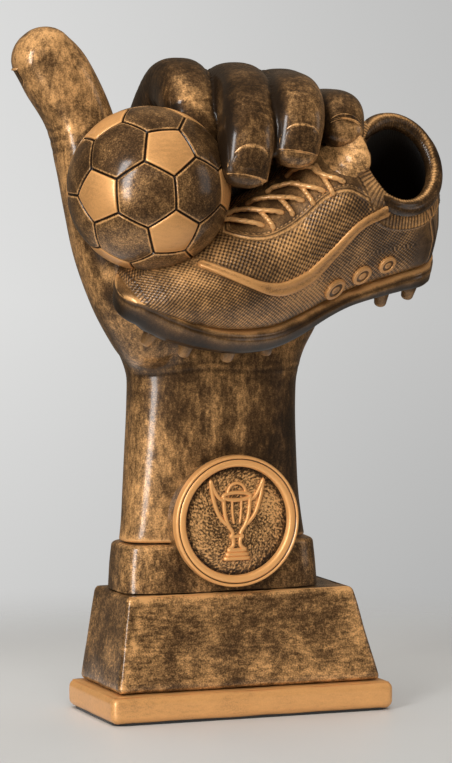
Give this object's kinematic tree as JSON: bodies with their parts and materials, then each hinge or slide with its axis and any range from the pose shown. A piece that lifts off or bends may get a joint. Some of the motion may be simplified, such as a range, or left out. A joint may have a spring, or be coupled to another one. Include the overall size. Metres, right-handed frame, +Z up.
{
  "type": "figure trophy",
  "caption": "Raised hand gripping a football boot with a ball in the crook of its thumb, on a tapered plinth with a round cup medallion.",
  "frame": {"origin": "middle of the felt pad's underside, where the trophy stands", "axes": "+Z up; the medallion faces -Y; +X is to the right of someone facing the medallion"},
  "size_m": [0.1087, 0.0603, 0.1704],
  "materials": {
    "antique_bronze": "dark bronze paint over cast resin, sponged gold, gloss lacquer",
    "gold_paint": "hand-painted gold under gloss lacquer",
    "felt": "short-pile felt",
    "zinc_steel": "zinc-plated steel"
  },
  "bodies": {
    "root": {"ball": "antique_bronze", "ball_dowel": "zinc_steel", "base_rim": "gold_paint", "boot_dowel": "zinc_steel", "boot_outsole": "antique_bronze", "boot_tongue": "gold_paint", "boot_upper": "antique_bronze", "clamp_rod": "zinc_steel", "collar_roll": "antique_bronze", "collar_step": "antique_bronze", "cup_emblem": "gold_paint", "felt_pad": "felt", "forearm": "antique_bronze", "index_finger": "antique_bronze", "lace_bar_1": "gold_paint", "lace_bar_2": "gold_paint", "lace_bar_3": "gold_paint", "lace_bar_4": "gold_paint", "lace_bar_5": "gold_paint", "lace_cross_1": "gold_paint", "lace_cross_2": "gold_paint", "lace_cross_3": "gold_paint", "lace_cross_4": "gold_paint", "little_finger": "antique_bronze", "medallion_bezel": "gold_paint", "medallion_boss": "antique_bronze", "medallion_disc": "antique_bronze", "middle_finger": "antique_bronze", "palm": "antique_bronze", "plinth_block": "antique_bronze", "ring_finger": "antique_bronze", "rod_nut": "zinc_steel", "rod_washer": "zinc_steel", "side_badge_1": "gold_paint", "side_badge_2": "gold_paint", "side_badge_3": "gold_paint", "stud_1": "antique_bronze", "stud_10": "antique_bronze", "stud_11": "antique_bronze", "stud_12": "antique_bronze", "stud_2": "antique_bronze", "stud_3": "antique_bronze", "stud_4": "antique_bronze", "stud_5": "antique_bronze", "stud_6": "antique_bronze", "stud_7": "antique_bronze", "stud_8": "antique_bronze", "stud_9": "antique_bronze", "thumb": "antique_bronze", "trim_band": "gold_paint"}
  },
  "joints": []
}
